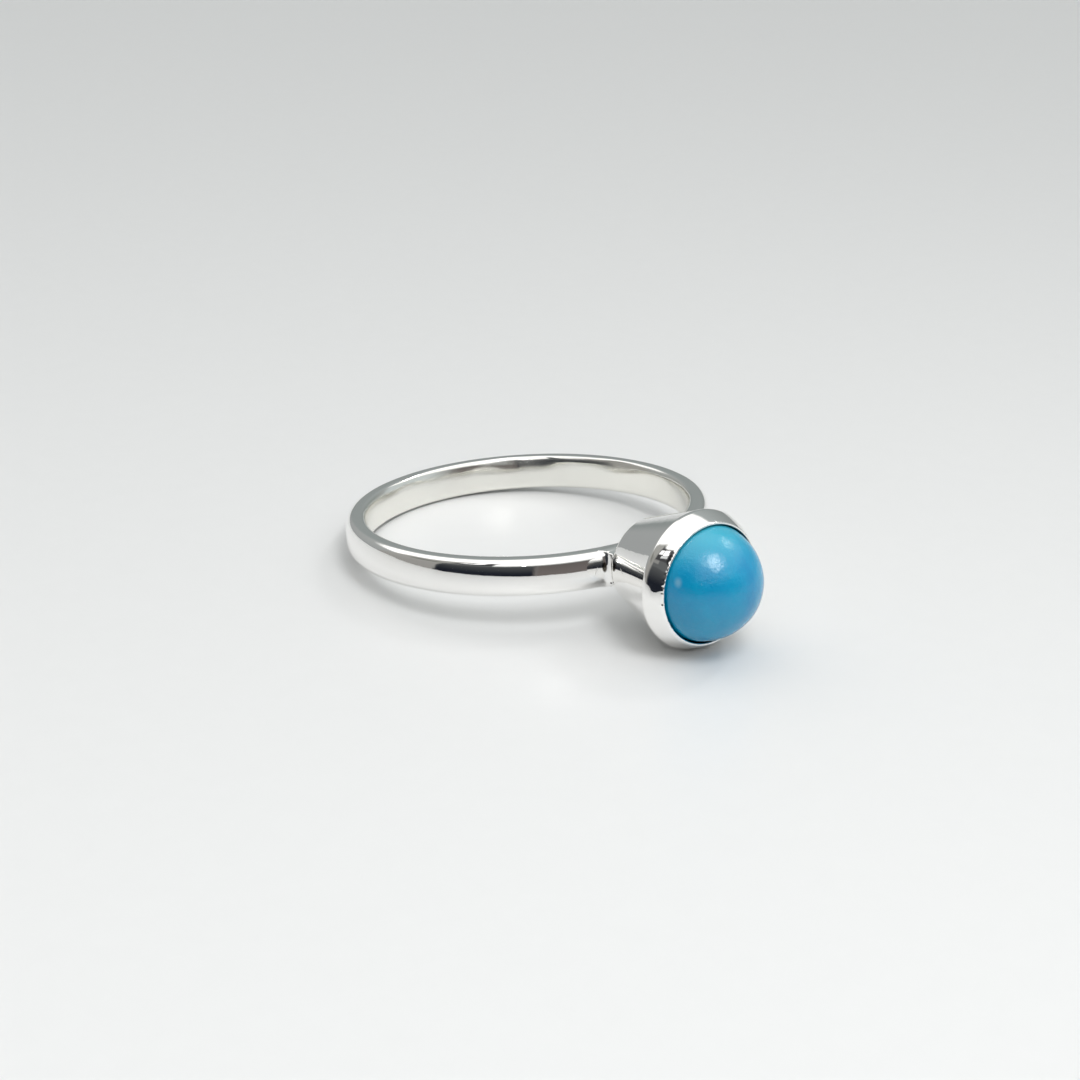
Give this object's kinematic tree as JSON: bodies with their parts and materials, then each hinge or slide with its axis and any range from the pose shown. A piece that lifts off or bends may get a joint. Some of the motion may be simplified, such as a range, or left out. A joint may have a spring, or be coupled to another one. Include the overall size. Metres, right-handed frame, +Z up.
{
  "type": "turquoise ring",
  "caption": "Finger ring with a slim low-domed band and one round high-domed turquoise cabochon in a tapered, closed bezel cup, lying on its side.",
  "frame": {"origin": "centre of the overall box, on the surface that the ring lies on", "axes": "+Z up from that surface; the stone points along -Y and slightly upwards; the finger's axis leans 6.3 degrees from +Z towards +Y"},
  "size_m": [0.0198, 0.027, 0.007],
  "materials": {
    "polished_silver": "mirror polished outside, satin inside the band",
    "turquoise": "polished, opaque"
  },
  "bodies": {
    "root": {"silver_band_and_bezel": "polished_silver", "turquoise_stone": "turquoise"}
  },
  "joints": []
}
